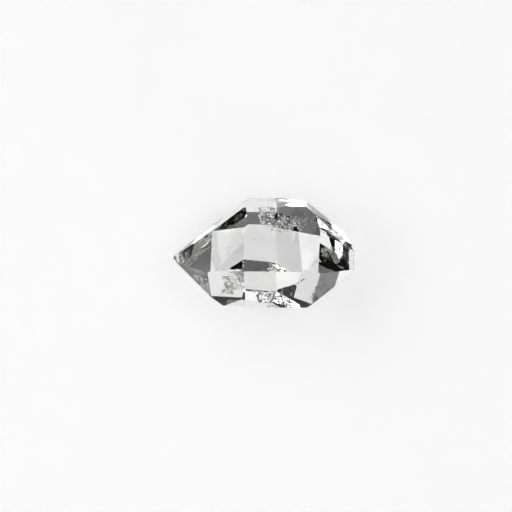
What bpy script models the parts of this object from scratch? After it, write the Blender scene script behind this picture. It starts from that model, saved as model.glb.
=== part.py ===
"""Herkimer diamond: a clear quartz crystal that grew with a point at each end.

It lies on its narrow underside face with its long axis along X, +Z up, and its origin on the
surface under the middle of its outline. Each crystal face is one flat cut, set by the quartz
angles, by a small lean from them and by how far the face stands from the middle of the crystal.
Lengths are in metres.
"""

import math

import bmesh
import bpy
from mathutils import Vector

MM = 0.001

# Quartz: its long axis c over its cross axis a sets how steeply the end faces slope.
AXIAL_RATIO = 1.100
PRISM_ANGLE = 90.0
END_ANGLE = math.degrees(math.atan(AXIAL_RATIO / math.cos(math.radians(30.0))))

# The six directions round the long axis, as turns in degrees from straight up towards +Y.
TURNS = {
    "top": 0.0,
    "back_upper": 60.0,
    "back_under": 120.0,
    "bottom": 180.0,
    "front_under": 240.0,
    "front_upper": 300.0,
}

# Each face: how far it stands from the middle in millimetres, then how many degrees it leans
# from the ideal angle to the long axis, and from the ideal turn.
PRISM_FACES = {
    "top": (4.45, 0.0, 0.5),
    "back_upper": (5.15, 1.5, 3.0),
    "back_under": (4.81, 0.0, 0.0),
    "bottom": (4.10, 0.0, 0.0),
    "front_under": (4.72, -1.0, 0.0),
    "front_upper": (4.99, -0.5, 3.5),
}
LEFT_FACES = {
    "top": (6.56, -1.0, 1.0),
    "back_upper": (5.19, -1.5, 5.0),
    "back_under": (5.02, -4.0, 2.5),
    "bottom": (4.48, 0.5, 1.0),
    "front_under": (5.95, 2.5, -1.0),
    "front_upper": (7.14, 0.5, -0.5),
}
RIGHT_FACES = {
    "top": (6.98, -1.0, -1.0),
    "back_upper": (6.71, 3.0, 2.5),
    "back_under": (4.55, 4.0, 7.0),
    "bottom": (4.04, 1.5, -3.5),
    "front_under": (6.37, 0.5, 0.0),
    "front_upper": (7.03, 4.5, -4.0),
}

# Growth made a face low on the front side and one over the upper right corner that lie between
# the six directions: reach in millimetres, angle from the long axis and turn in degrees.
LOW_FRONT_FACE = (3.49, 93.5, 221.5)
CORNER_FACE = (7.16, 48.5, 14.0)

# Shell-shaped chips along the right tip and at the back corner, where the edges were knocked:
# the middle of each scoop from the middle of the crystal, then its radius, in millimetres.
CHIPS = {
    "tip_back": (9.20, 0.42, 1.80, 0.50),
    "tip_upper": (9.20, -0.48, 1.50, 0.32),
    "tip_middle": (9.25, -1.05, 1.78, 0.42),
    "tip_lower": (9.24, -1.58, 1.45, 0.30),
    "back_corner": (4.30, 5.02, 2.20, 0.36),
}
CHIP_SMOOTHNESS = 3

BLOCK_SIZE = 40.0 * MM
WELD_DISTANCE = 0.0001 * MM


def empty_scene():
    for item in list(bpy.data.objects):
        bpy.data.objects.remove(item, do_unlink=True)


def new_collection(name):
    collection = bpy.data.collections.new(name)
    bpy.context.scene.collection.children.link(collection)
    return collection


def face_normal(angle_from_axis, turn):
    """Outward direction at an angle from the +X end of the long axis, turned from up towards +Y."""
    angle = math.radians(angle_from_axis)
    turn = math.radians(turn)
    across = math.sin(angle)
    return Vector((math.cos(angle), across * math.sin(turn), across * math.cos(turn)))


def crystal_faces():
    """Every face as its outward normal and its distance from the middle."""
    families = (
        (PRISM_ANGLE, PRISM_FACES),
        (180.0 - END_ANGLE, LEFT_FACES),
        (END_ANGLE, RIGHT_FACES),
    )
    faces = []
    for ideal_angle, family in families:
        for side, (reach, lean, twist) in family.items():
            normal = face_normal(ideal_angle + lean, TURNS[side] + twist)
            faces.append((normal, reach * MM))
    for reach, angle, turn in (LOW_FRONT_FACE, CORNER_FACE):
        faces.append((face_normal(angle, turn), reach * MM))
    return faces


def cut_flat(bm, normal, distance):
    """Cut away what lies beyond one plane and close the cut with a face."""
    geometry = bm.verts[:] + bm.edges[:] + bm.faces[:]
    cut = bmesh.ops.bisect_plane(
        bm,
        geom=geometry,
        dist=WELD_DISTANCE,
        plane_co=normal * distance,
        plane_no=normal,
        clear_outer=True,
    )
    rim = [item for item in cut["geom_cut"] if isinstance(item, bmesh.types.BMEdge)]
    open_rim = [edge for edge in rim if edge.is_boundary]
    if open_rim:
        bmesh.ops.holes_fill(bm, edges=open_rim)


def stand_on_origin(bm):
    """Move the crystal so that its outline is centred over the origin and its underside is at zero."""
    xs = [vert.co.x for vert in bm.verts]
    ys = [vert.co.y for vert in bm.verts]
    lowest = min(vert.co.z for vert in bm.verts)
    shift = Vector((-(min(xs) + max(xs)) / 2, -(min(ys) + max(ys)) / 2, -lowest))
    bmesh.ops.translate(bm, vec=shift, verts=bm.verts)
    return shift


def quartz_material():
    material = bpy.data.materials.new("quartz")
    material.use_nodes = True
    shader = material.node_tree.nodes["Principled BSDF"]
    shader.inputs["Base Color"].default_value = (0.97, 0.98, 0.98, 1.0)
    shader.inputs["Roughness"].default_value = 0.02
    shader.inputs["Metallic"].default_value = 0.0
    shader.inputs["IOR"].default_value = 1.544
    shader.inputs["Transmission Weight"].default_value = 1.0
    return material


def make_crystal(collection):
    bm = bmesh.new()
    bmesh.ops.create_cube(bm, size=BLOCK_SIZE)
    for normal, distance in crystal_faces():
        cut_flat(bm, normal, distance)
    shift = stand_on_origin(bm)
    bmesh.ops.recalc_face_normals(bm, faces=bm.faces)
    mesh = bpy.data.meshes.new("crystal")
    bm.to_mesh(mesh)
    bm.free()
    mesh.materials.append(quartz_material())
    crystal = bpy.data.objects.new("crystal", mesh)
    collection.objects.link(crystal)
    return crystal, shift


def make_scoop(name, centre, radius, collection):
    """A round cutter that leaves a shell-shaped chip where it meets an edge."""
    bm = bmesh.new()
    bmesh.ops.create_icosphere(bm, subdivisions=CHIP_SMOOTHNESS, radius=radius)
    mesh = bpy.data.meshes.new(name)
    bm.to_mesh(mesh)
    bm.free()
    scoop = bpy.data.objects.new(name, mesh)
    scoop.location = centre
    scoop.hide_render = True
    scoop.display_type = "WIRE"
    collection.objects.link(scoop)
    return scoop


def chip_edges(crystal, shift, collection):
    for name, (x, y, z, radius) in CHIPS.items():
        centre = Vector((x, y, z)) * MM + shift
        scoop = make_scoop("scoop_" + name, centre, radius * MM, collection)
        cut = crystal.modifiers.new("chip_" + name, "BOOLEAN")
        cut.operation = "DIFFERENCE"
        cut.solver = "EXACT"
        cut.object = scoop


def main():
    empty_scene()
    crystal, shift = make_crystal(new_collection("herkimer_diamond"))
    chip_edges(crystal, shift, new_collection("cutters"))


main()
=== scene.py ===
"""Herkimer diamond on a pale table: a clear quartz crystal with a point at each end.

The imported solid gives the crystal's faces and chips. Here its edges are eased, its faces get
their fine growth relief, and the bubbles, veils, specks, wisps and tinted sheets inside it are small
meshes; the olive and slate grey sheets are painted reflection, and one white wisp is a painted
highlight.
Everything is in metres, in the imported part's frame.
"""

import math
import random

import bmesh
import bpy
from mathutils import Matrix, Vector
from mathutils.bvhtree import BVHTree


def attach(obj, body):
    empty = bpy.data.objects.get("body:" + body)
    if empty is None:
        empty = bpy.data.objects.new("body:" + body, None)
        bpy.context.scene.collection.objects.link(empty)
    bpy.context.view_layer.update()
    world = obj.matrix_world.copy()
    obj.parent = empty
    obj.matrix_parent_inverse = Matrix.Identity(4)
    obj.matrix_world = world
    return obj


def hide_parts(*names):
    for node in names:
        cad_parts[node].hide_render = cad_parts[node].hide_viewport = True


MM = 0.001

# Camera: where it aims, how far it stands, and its turn, height and roll in degrees.
IMAGE_WIDTH = 512
CAMERA_TARGET = Vector((-0.05, 0.01, 4.10)) * MM
CAMERA_DISTANCE = 200.1 * MM
CAMERA_AZIMUTH = 8.18
CAMERA_ELEVATION = 75.41
CAMERA_ROLL = -6.87
FOCAL_PIXELS = 2000.0
SENSOR_WIDTH = 36.0
CENTRE_SHIFT_PIXELS = (-8.0, -3.0)

# Quartz.
QUARTZ_IOR = 1.544
BUBBLE_IOR = 1.0 / QUARTZ_IOR
ABSORPTION_COLOUR = (0.35, 0.42, 0.38, 1.0)
ABSORPTION_DENSITY = 6.0
RELIEF_STRENGTH = 0.5
RELIEF_HEIGHT = 0.004 * MM
RELIEF_STRETCH = (0.4, 1.0, 1.0)
WELD_DISTANCE = 0.0001 * MM
EDGE_EASE = 0.035 * MM
EDGE_STEPS = 2
EDGE_ROUNDNESS = 0.6
SHARP_DEGREES = 12.0
FLAT_DEGREES = 0.5

# How fine each noise pattern is, in repeats a metre.
QUARTZ_TINT_NOISE = 300.0
QUARTZ_DULL_NOISE = 700.0
QUARTZ_RELIEF_NOISE = 900.0
BUBBLE_NOISE = 5000.0
FLAKE_NOISE = 9000.0
FLAKE_RELIEF_NOISE = 12000.0
RIBBON_TINT_NOISE = 4000.0
RIBBON_HAZE_NOISE = 2600.0
PAPER_NOISE = 1500.0

# Table and light: directions are turn from the back towards the right, then height, in degrees.
FLOOR_GAP = 0.02 * MM
FLOOR_SIZE = 1.6
FLOOR_GLOW_DEPTH = 6.0 * MM
# Painted light: the table's own glow lifts the crystal's shadow on it.
FLOOR_PAINTED_GLOW = 0.44
FLOOR_ROUGHNESS = 0.8
FLOOR_SHINE = 0.2
SOFTBOX_DISTANCE = 0.6
SOFTBOXES = {
    "key": ((165.0, 64.0), (0.10, 0.10), 0.30),
    "key_back": ((345.0, 62.0), (0.12, 0.12), 0.12),
    "key_right": ((95.0, 60.0), (0.12, 0.12), 0.30),
    "front": ((176.0, 36.0), (0.34, 0.20), 0.18),
    "front_high": ((170.0, 51.0), (0.07, 0.10), 0.016),
    "overhead": ((178.0, 77.5), (0.05, 0.05), 0.007),
    "front_low": ((151.0, 9.0), (0.26, 0.14), 0.25),
    "left_back": ((313.0, 40.0), (0.50, 0.34), 0.70),
    "left": ((267.0, 39.0), (0.14, 0.14), 0.16),
    "left_high": ((268.0, 50.0), (0.13, 0.11), 0.14),
    "left_front": ((246.0, 44.0), (0.20, 0.17), 0.25),
    "left_low": ((276.0, 9.0), (0.26, 0.14), 0.075),
    "back_right": ((43.0, 39.0), (0.20, 0.17), 0.11),
}
ROOM_BACK = 0.08
ROOM_FRONT = 0.18
ROOM_BLEND = 0.6
WHITE = (1.0, 1.0, 1.0, 1.0)

# Healed cracks full of tiny bubbles, low at the back: two corners of a patch, its two edges,
# how many bubbles, and their smallest and largest radius. Millimetres.
VEILS = {
    "veil_right": ((1.0, 3.3, 1.6), (3.3, -0.1, 2.6), (0.1, -1.0, -1.25), 100, 0.06, 0.20),
    "veil_middle": ((-0.8, 4.0, 2.2), (1.5, 0.05, 0.1), (0.3, -1.4, -1.7), 44, 0.06, 0.20),
}
# Smaller bubbles and pits just under the top face and in the right end.
BUBBLE_CLOUDS = {
    "pits_top": ((3.6, -0.75, 8.42), (1.5, 0.0, 0.0), (0.0, 1.4, 0.0), 46, 0.015, 0.045),
    "cloud_right": ((5.5, -1.2, 7.75), (0.9, 0.1, -0.7), (0.1, 1.0, -0.1), 60, 0.02, 0.09),
    "cloud_tip": ((8.2, -1.6, 5.9), (0.5, 0.1, -0.3), (0.2, 1.6, 0.0), 30, 0.02, 0.07),
}
BUBBLE_ROUNDNESS = 2
# Small bubbles are commoner by this power; then a bubble's length, width and thickness over its
# radius, how far it lies off its patch, and how far it leans, in radians.
SMALLNESS = 2.5
BUBBLE_LENGTH = (0.8, 1.9)
BUBBLE_WIDTH = (0.5, 0.9)
BUBBLE_THICKNESS = 0.45
PATCH_THICKNESS = 0.08 * MM
BUBBLE_LEAN = 0.5
# Nothing inside comes nearer to the surface than this.
LEAST_DEPTH = 0.04 * MM

# Dark flakes, each a row of points with a radius at each: x, y, z, radius in millimetres.
DARK_FLAKES = {
    "comma": ((3.62, -3.30, 6.74, 0.05), (3.80, -3.22, 6.90, 0.09), (4.0, -3.12, 7.05, 0.12),
              (4.25, -3.12, 7.05, 0.06)),
    "comma_tail": ((3.40, -3.38, 6.50, 0.05), (3.50, -3.34, 6.58, 0.08)),
    "flake_a": ((2.95, -3.55, 6.05, 0.04), (3.08, -3.50, 6.15, 0.06)),
    "flake_b": ((2.60, -3.60, 5.82, 0.04), (2.72, -3.58, 5.90, 0.06)),
    "flake_c": ((2.26, -3.70, 5.55, 0.04), (2.34, -3.66, 5.60, 0.05)),
    "speck_top": ((-0.90, 0.46, 7.07, 0.06), (-0.80, 0.47, 7.07, 0.04)),
    "speck_back": ((-0.17, 0.70, 6.57, 0.035), (-0.12, 0.70, 6.57, 0.03)),
    "blob_left": ((-5.62, 0.60, 7.56, 0.14), (-5.50, 0.75, 7.50, 0.17), (-5.35, 0.62, 7.60, 0.10)),
    "fleck_tip": ((-8.25, -0.33, 5.00, 0.06), (-8.10, -0.30, 5.05, 0.05)),
    "fleck_tip_low": ((-7.81, -0.57, 6.01, 0.06), (-7.76, -0.66, 6.05, 0.07)),
}
FLAKE_SHAPE = (1.4, 0.8, 0.5)
FLAKE_RAGGEDNESS = 0.008 * MM

# Milky wisps, each a ribbon along points with a half width at each: x, y, z, half width.
# The corner one is a painted highlight, a white sheet standing in for glare on the right end's corner
# facet.
MILKY_WISPS_AND_GLARE = {
    "wisp_tip": ((-7.15, -0.28, 5.92, 0.10), (-7.33, -0.42, 6.03, 0.20), (-7.52, -0.76, 5.95, 0.14),
                 (-7.51, -1.10, 5.95, 0.22), (-7.30, -1.40, 6.05, 0.10)),
    "wisp_left": ((-6.53, -1.21, 6.43, 0.12), (-6.02, -0.89, 6.81, 0.18), (-5.51, -0.67, 7.19, 0.12),
                  (-4.95, -0.48, 7.60, 0.06)),
    "wisp_low_left": ((-5.95, -3.19, 6.36, 0.08), (-5.60, -3.33, 6.66, 0.14),
                      (-5.50, -3.40, 6.75, 0.06)),
    "wisp_wedge": ((0.90, 3.50, 1.98, 0.10), (0.95, 3.20, 1.60, 0.32), (0.95, 2.90, 1.15, 0.40),
                   (0.97, 2.75, 0.95, 0.30)),
    # Painted highlight: a white sheet standing in for glare on the right end's corner facet.
    "painted_glare_corner": ((5.45, 2.50, 8.08, 0.20), (6.27, 1.86, 7.55, 0.42), (6.87, 1.37, 7.13, 0.50),
                    (7.47, 0.99, 6.67, 0.48), (8.08, 0.29, 6.29, 0.24)),
    "wisp_right": ((5.55, -0.62, 7.85, 0.14), (5.80, -0.80, 7.70, 0.20), (6.04, -1.00, 7.54, 0.10)),
}

# Thin tinted sheets, laid out the same way: brown in the front; olive and slate grey in the right end,
# which are painted reflection standing in for the room's colours reflected in the crystal there.
BROWN_SHEETS = {
    "brown_sheet_left": ((-3.38, -3.22, 7.75, 0.55), (-3.40, -3.88, 6.75, 0.55), (-3.43, -4.55, 5.74, 0.55)),
}
# Painted reflection: olive sheets standing in for colours reflected in the right end.
OLIVE_PAINTED_REFLECTIONS = {
    "painted_reflection_tip": ((7.57, 0.39, 6.67, 0.20), (8.06, 0.20, 6.25, 0.30), (8.45, -0.05, 5.90, 0.18)),
    "painted_reflection_wedge": ((5.42, -3.70, 6.55, 0.16), (5.30, -4.10, 6.20, 0.30), (5.02, -4.55, 5.60, 0.34),
                    (4.82, -5.00, 4.98, 0.22)),
}
# Painted reflection: a slate grey sheet standing in for the room's colours reflected in the right end.
SLATE_PAINTED_REFLECTIONS = {
    "painted_reflection_right": ((6.55, -0.55, 7.38, 0.45), (6.95, -0.58, 7.04, 0.70), (7.45, -0.62, 6.62, 0.75),
                   (8.00, -0.68, 6.16, 0.50)),
}
# Each kind of ribbon: its darker tint, its lighter tint and its ribbons.
RIBBONS = {
    "milky_wisp_and_glare": ((0.80, 0.76, 0.70, 1.0), (0.96, 0.95, 0.93, 1.0), MILKY_WISPS_AND_GLARE),
    "brown_sheet": ((0.20, 0.16, 0.11, 1.0), (0.48, 0.41, 0.31, 1.0), BROWN_SHEETS),
    # The olive and slate grey kinds are painted reflection.
    "painted_olive_reflection": ((0.16, 0.18, 0.07, 1.0), (0.55, 0.56, 0.34, 1.0), OLIVE_PAINTED_REFLECTIONS),
    "painted_slate_reflection": ((0.20, 0.25, 0.25, 1.0), (0.44, 0.50, 0.49, 1.0), SLATE_PAINTED_REFLECTIONS),
}
# A ribbon's rows between two of its points, where its strands lie across it, how much its width
# varies, how far it ripples in millimetres, and the way that it faces.
RIBBON_ROWS = 6
RIBBON_STRANDS = (-1.0, -0.4, 0.3, 1.0)
RIBBON_WIDTHS = (0.6, 1.2)
RIBBON_RIPPLE = 0.05
RIBBON_FACING = (0.0, 0.3, 1.0)


def new_object(name, mesh):
    piece = bpy.data.objects.new(name, mesh)
    bpy.context.scene.collection.objects.link(piece)
    return piece


def mesh_from(bm, name, material, smooth=False):
    mesh = bpy.data.meshes.new(name)
    for face in bm.faces:
        face.smooth = smooth
    bm.to_mesh(mesh)
    bm.free()
    mesh.materials.append(material)
    return new_object(name, mesh)


def belongs(piece):
    """Inclusions move with the crystal."""
    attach(piece, "root")


def shader_of(material):
    material.use_nodes = True
    tree = material.node_tree
    return tree, tree.nodes["Principled BSDF"]


def noise(tree, scale, detail=2.0, roughness=0.5, stretch=None):
    """Noise over the piece's own coordinates, in metres, stretched along an axis if asked."""
    texture = tree.nodes.new("ShaderNodeTexNoise")
    texture.inputs["Scale"].default_value = scale
    texture.inputs["Detail"].default_value = detail
    texture.inputs["Roughness"].default_value = roughness
    place = tree.nodes.new("ShaderNodeTexCoord")
    if stretch:
        mapping = tree.nodes.new("ShaderNodeMapping")
        mapping.inputs["Scale"].default_value = stretch
        tree.links.new(place.outputs["Object"], mapping.inputs["Vector"])
        tree.links.new(mapping.outputs["Vector"], texture.inputs["Vector"])
    else:
        tree.links.new(place.outputs["Object"], texture.inputs["Vector"])
    return texture.outputs["Fac"]


def ramp(tree, source, stops):
    node = tree.nodes.new("ShaderNodeValToRGB")
    elements = node.color_ramp.elements
    for index, (position, colour) in enumerate(stops):
        element = elements[index] if index < 2 else elements.new(position)
        element.position = position
        element.color = colour
    tree.links.new(source, node.inputs["Fac"])
    return node.outputs["Color"]


def grey(value):
    return (value, value, value, 1.0)


def bump(tree, shader, height, strength, distance):
    node = tree.nodes.new("ShaderNodeBump")
    node.inputs["Strength"].default_value = strength
    node.inputs["Distance"].default_value = distance
    tree.links.new(height, node.inputs["Height"])
    tree.links.new(node.outputs["Normal"], shader.inputs["Normal"])


def quartz_material():
    """Clear quartz: bright flat faces with a faint growth relief and a few slightly dull places."""
    material = bpy.data.materials.new("clear_quartz")
    tree, shader = shader_of(material)
    shader.inputs["IOR"].default_value = QUARTZ_IOR
    shader.inputs["Transmission Weight"].default_value = 1.0
    tint = ramp(tree, noise(tree, QUARTZ_TINT_NOISE), [
        (0.35, (0.985, 0.985, 0.98, 1.0)),
        (0.65, WHITE),
    ])
    tree.links.new(tint, shader.inputs["Base Color"])
    patches = noise(tree, QUARTZ_DULL_NOISE, 6.0, 0.6)
    dull = ramp(tree, patches, [(0.58, grey(0.0)), (0.80, grey(0.06))])
    tree.links.new(dull, shader.inputs["Roughness"])
    relief = noise(tree, QUARTZ_RELIEF_NOISE, 3.0, 0.5, RELIEF_STRETCH)
    bump(tree, shader, relief, RELIEF_STRENGTH, RELIEF_HEIGHT)
    absorb = tree.nodes.new("ShaderNodeVolumeAbsorption")
    absorb.inputs["Color"].default_value = ABSORPTION_COLOUR
    absorb.inputs["Density"].default_value = ABSORPTION_DENSITY
    output = tree.nodes["Material Output"]
    tree.links.new(absorb.outputs["Volume"], output.inputs["Volume"])
    return material


def bubble_material():
    """Gas or brine in the quartz: light bends away from it and flashes off its rim."""
    material = bpy.data.materials.new("bubble")
    tree, shader = shader_of(material)
    shader.inputs["IOR"].default_value = BUBBLE_IOR
    shader.inputs["Transmission Weight"].default_value = 1.0
    shader.inputs["Roughness"].default_value = 0.02
    tint = ramp(tree, noise(tree, BUBBLE_NOISE), [(0.3, grey(0.86)), (0.7, grey(1.0))])
    tree.links.new(tint, shader.inputs["Base Color"])
    return material


def flake_material():
    """Black to brown carbon flakes."""
    material = bpy.data.materials.new("carbon_flake")
    tree, shader = shader_of(material)
    colour = ramp(tree, noise(tree, FLAKE_NOISE, 4.0), [
        (0.40, (0.010, 0.009, 0.008, 1.0)),
        (0.62, (0.10, 0.065, 0.035, 1.0)),
    ])
    tree.links.new(colour, shader.inputs["Base Color"])
    shader.inputs["Roughness"].default_value = 0.6
    bump(tree, shader, noise(tree, FLAKE_RELIEF_NOISE, 4.0), 0.8, 0.02 * MM)
    return material


def ribbon_material(name, darker, lighter):
    """A thin haze of one tint, thicker in some places than in others."""
    material = bpy.data.materials.new(name)
    tree, shader = shader_of(material)
    colour = ramp(tree, noise(tree, RIBBON_TINT_NOISE, 4.0), [(0.35, darker), (0.65, lighter)])
    tree.links.new(colour, shader.inputs["Base Color"])
    shader.inputs["Roughness"].default_value = 0.5
    clouds = noise(tree, RIBBON_HAZE_NOISE, 5.0, 0.6)
    haze = ramp(tree, clouds, [(0.38, grey(0.05)), (0.62, grey(0.9))])
    tree.links.new(haze, shader.inputs["Alpha"])
    return material


def ease_edges(bm):
    """Join what lies in one plane, then round every sharp edge a little."""
    bmesh.ops.dissolve_limit(
        bm, angle_limit=math.radians(FLAT_DEGREES), verts=bm.verts[:], edges=bm.edges[:]
    )
    sharp = [
        edge
        for edge in bm.edges
        if len(edge.link_faces) == 2 and edge.calc_face_angle() > math.radians(SHARP_DEGREES)
    ]
    bmesh.ops.bevel(
        bm,
        geom=sharp,
        offset=EDGE_EASE,
        offset_type="OFFSET",
        segments=EDGE_STEPS,
        profile=EDGE_ROUNDNESS,
        affect="EDGES",
        clamp_overlap=True,
    )


def dress_crystal(node):
    """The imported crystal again, with its knife edges eased."""
    bm = bmesh.new()
    bm.from_mesh(node.data)
    bmesh.ops.remove_doubles(bm, verts=bm.verts[:], dist=WELD_DISTANCE)
    ease_edges(bm)
    piece = mesh_from(bm, "crystal_faces", quartz_material())
    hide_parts("crystal")
    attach(piece, "root")


def skin_of(node):
    """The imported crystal's surface, to measure depths from."""
    bm = bmesh.new()
    bm.from_mesh(node.data)
    skin = BVHTree.FromBMesh(bm)
    bm.free()
    return skin


def depth_under(skin, point):
    """How deep a point lies inside, and the nearest place on the surface with its normal."""
    place, normal, _, _ = skin.find_nearest(point)
    return (place - point).dot(normal), place, normal


def keep_inside(bm, skin):
    """Pull back what would stick out of the crystal."""
    for vert in bm.verts:
        depth, place, normal = depth_under(skin, vert.co)
        if depth < LEAST_DEPTH:
            vert.co = place - normal * LEAST_DEPTH


def add_bubble(bm, centre, radii, rotation):
    place = Matrix.Translation(centre) @ rotation @ Matrix.Diagonal((*radii, 1.0))
    bmesh.ops.create_icosphere(bm, subdivisions=BUBBLE_ROUNDNESS, radius=1.0, matrix=place)


def scatter_bubbles(name, patch, material, skin, seed):
    """Flattened bubbles of many sizes, strewn over a patch."""
    corner, along, across, count, smallest, largest = patch
    corner, along, across = (Vector(v) * MM for v in (corner, along, across))
    facing = along.cross(across).normalized()
    flat = facing.to_track_quat("Z", "Y").to_matrix().to_4x4()
    rng = random.Random(seed)
    bm = bmesh.new()
    for _ in range(count):
        size = (smallest + (largest - smallest) * rng.random() ** SMALLNESS) * MM
        lift = facing * rng.uniform(-1.0, 1.0) * PATCH_THICKNESS
        centre = corner + along * rng.random() + across * rng.random() + lift
        turn = Matrix.Rotation(rng.uniform(0.0, math.tau), 4, "Z")
        lean = Matrix.Rotation(rng.uniform(-BUBBLE_LEAN, BUBBLE_LEAN), 4, "X")
        length, width = rng.uniform(*BUBBLE_LENGTH), rng.uniform(*BUBBLE_WIDTH)
        radii = (size * length, size * width, size * BUBBLE_THICKNESS)
        if depth_under(skin, centre)[0] > max(radii) + LEAST_DEPTH:
            add_bubble(bm, centre, radii, flat @ turn @ lean)
    belongs(mesh_from(bm, name, material, smooth=True))


def make_flake(name, points, material, skin, seed):
    """A ragged lump: overlapping crushed balls along a row of points."""
    rng = random.Random(seed)
    bm = bmesh.new()
    for x, y, z, radius in points:
        centre = Vector((x, y, z)) * MM
        angle = rng.uniform(0.0, math.tau)
        tilt = Matrix.Rotation(angle, 4, Vector((rng.random(), rng.random(), 1.0)))
        radii = [radius * MM * share for share in FLAKE_SHAPE]
        add_bubble(bm, centre, radii, tilt)
    for vert in bm.verts:
        vert.co += Vector([rng.uniform(-1.0, 1.0) for _ in range(3)]) * FLAKE_RAGGEDNESS
    keep_inside(bm, skin)
    belongs(mesh_from(bm, name, material))


def make_ribbon(name, points, material, skin, seed):
    """A thin ragged ribbon of haze along a row of points."""
    rng = random.Random(seed)
    bm = bmesh.new()
    rows = []
    for start, end in zip(points, points[1:]):
        for step in range(RIBBON_ROWS):
            blend = step / RIBBON_ROWS
            rows.append([a + (b - a) * blend for a, b in zip(start, end)])
    rows.append(list(points[-1]))
    strip = []
    for index, (x, y, z, half) in enumerate(rows):
        before, after = rows[max(index - 1, 0)], rows[min(index + 1, len(rows) - 1)]
        along = Vector([after[i] - before[i] for i in range(3)])
        side = along.cross(Vector(RIBBON_FACING)).normalized()
        half *= rng.uniform(*RIBBON_WIDTHS)
        centre = Vector((x, y, z))
        row = []
        for share in RIBBON_STRANDS:
            ripple = Vector((0.0, 0.0, RIBBON_RIPPLE * rng.uniform(-1, 1)))
            row.append(bm.verts.new((centre + side * half * share + ripple) * MM))
        strip.append(row)
    for lower, upper in zip(strip, strip[1:]):
        for index in range(len(RIBBON_STRANDS) - 1):
            bm.faces.new((lower[index], lower[index + 1], upper[index + 1], upper[index]))
    keep_inside(bm, skin)
    belongs(mesh_from(bm, name, material, smooth=True))


def make_inclusions(skin):
    bubble = bubble_material()
    for seed, (name, patch) in enumerate({**VEILS, **BUBBLE_CLOUDS}.items()):
        scatter_bubbles(name, patch, bubble, skin, seed)
    flake = flake_material()
    for seed, (name, points) in enumerate(DARK_FLAKES.items()):
        make_flake(name, points, flake, skin, seed)
    for kind, (darker, lighter, ribbons) in RIBBONS.items():
        material = ribbon_material(kind, darker, lighter)
        for seed, (name, points) in enumerate(ribbons.items()):
            make_ribbon(name, points, material, skin, seed)


def make_floor():
    """A pale sheet that spreads light under its surface and glows softly and evenly, though it is no
    lamp: painted light that lifts the crystal's shadow on it.
    """
    bm = bmesh.new()
    bmesh.ops.create_grid(bm, x_segments=1, y_segments=1, size=FLOOR_SIZE / 2)
    material = bpy.data.materials.new("pale_table")
    tree, shader = shader_of(material)
    fibres = noise(tree, PAPER_NOISE, 6.0, 0.7)
    paper = ramp(tree, fibres, [(0.30, grey(0.84)), (0.70, grey(0.90))])
    tree.links.new(paper, shader.inputs["Base Color"])
    shader.inputs["Roughness"].default_value = FLOOR_ROUGHNESS
    shader.inputs["Specular IOR Level"].default_value = FLOOR_SHINE
    shader.subsurface_method = "BURLEY"
    shader.inputs["Subsurface Weight"].default_value = 1.0
    shader.inputs["Subsurface Scale"].default_value = FLOOR_GLOW_DEPTH
    shader.inputs["Subsurface Radius"].default_value = (1.0, 1.0, 1.0)
    # Painted light: the table glows by itself, lifting the shade under the crystal.
    shader.inputs["Emission Color"].default_value = WHITE
    shader.inputs["Emission Strength"].default_value = FLOOR_PAINTED_GLOW
    floor = mesh_from(bm, "table_top", material)
    floor.location.z = -FLOOR_GAP


def make_camera():
    data = bpy.data.cameras.new("camera")
    data.sensor_width = SENSOR_WIDTH
    data.lens = FOCAL_PIXELS / IMAGE_WIDTH * SENSOR_WIDTH
    data.shift_x = CENTRE_SHIFT_PIXELS[0] / IMAGE_WIDTH
    data.shift_y = CENTRE_SHIFT_PIXELS[1] / IMAGE_WIDTH
    data.clip_start = 0.001
    camera = bpy.data.objects.new("camera", data)
    turn = Matrix.Rotation(math.radians(CAMERA_AZIMUTH), 4, "Z")
    lean = Matrix.Rotation(math.radians(90.0 - CAMERA_ELEVATION), 4, "X")
    roll = Matrix.Rotation(math.radians(CAMERA_ROLL), 4, "Z")
    rotation = turn @ lean @ roll
    towards = rotation @ Vector((0.0, 0.0, 1.0))
    place = Matrix.Translation(CAMERA_TARGET + towards * CAMERA_DISTANCE)
    camera.matrix_world = place @ rotation
    bpy.context.scene.collection.objects.link(camera)
    bpy.context.scene.camera = camera


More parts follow.
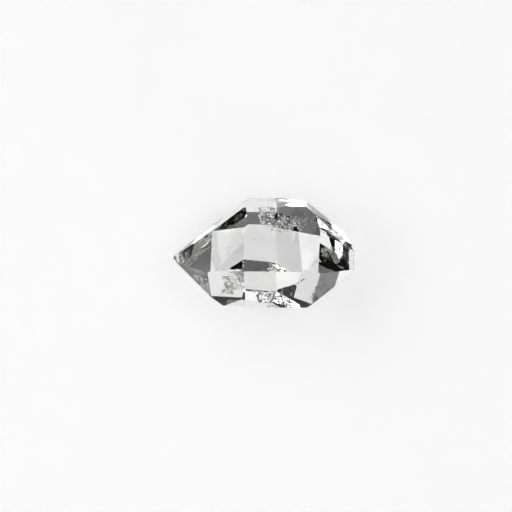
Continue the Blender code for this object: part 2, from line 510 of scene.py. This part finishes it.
def direction(azimuth, elevation):
    azimuth, elevation = math.radians(azimuth), math.radians(elevation)
    across = math.cos(elevation)
    return Vector((across * math.sin(azimuth), across * math.cos(azimuth), math.sin(elevation)))


def softbox(name, towards, size, power):
    data = bpy.data.lights.new("softbox_" + name, "AREA")
    data.shape = "RECTANGLE"
    data.size, data.size_y = size
    data.energy = power
    light = bpy.data.objects.new("softbox_" + name, data)
    light.location = towards * SOFTBOX_DISTANCE
    light.rotation_euler = towards.to_track_quat("Z", "Y").to_euler()
    bpy.context.scene.collection.objects.link(light)


def make_room():
    """A dim room, darker behind the crystal than in front of it."""
    world = bpy.data.worlds.new("studio")
    bpy.context.scene.world = world
    world.use_nodes = True
    tree = world.node_tree
    background = tree.nodes["Background"]
    place = tree.nodes.new("ShaderNodeTexCoord")
    split = tree.nodes.new("ShaderNodeSeparateXYZ")
    tree.links.new(place.outputs["Generated"], split.inputs["Vector"])
    span = tree.nodes.new("ShaderNodeMapRange")
    span.inputs["From Min"].default_value = ROOM_BLEND
    span.inputs["From Max"].default_value = -ROOM_BLEND
    span.inputs["To Min"].default_value = ROOM_BACK
    span.inputs["To Max"].default_value = ROOM_FRONT
    tree.links.new(split.outputs["Y"], span.inputs["Value"])
    tree.links.new(span.outputs["Result"], background.inputs["Strength"])
    background.inputs["Color"].default_value = WHITE


def make_light():
    make_room()
    for name, (aim, size, power) in SOFTBOXES.items():
        softbox(name, direction(*aim), size, power)
    bpy.context.scene.view_settings.view_transform = "Standard"


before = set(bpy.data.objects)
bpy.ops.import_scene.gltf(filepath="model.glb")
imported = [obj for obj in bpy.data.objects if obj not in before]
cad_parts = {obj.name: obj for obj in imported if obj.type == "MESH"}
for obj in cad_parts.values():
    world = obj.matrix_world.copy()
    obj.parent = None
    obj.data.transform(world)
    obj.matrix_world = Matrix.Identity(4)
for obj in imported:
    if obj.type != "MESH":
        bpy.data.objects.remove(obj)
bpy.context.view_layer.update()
make_camera()
make_light()
make_floor()
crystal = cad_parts["crystal"]
dress_crystal(crystal)
make_inclusions(skin_of(crystal))
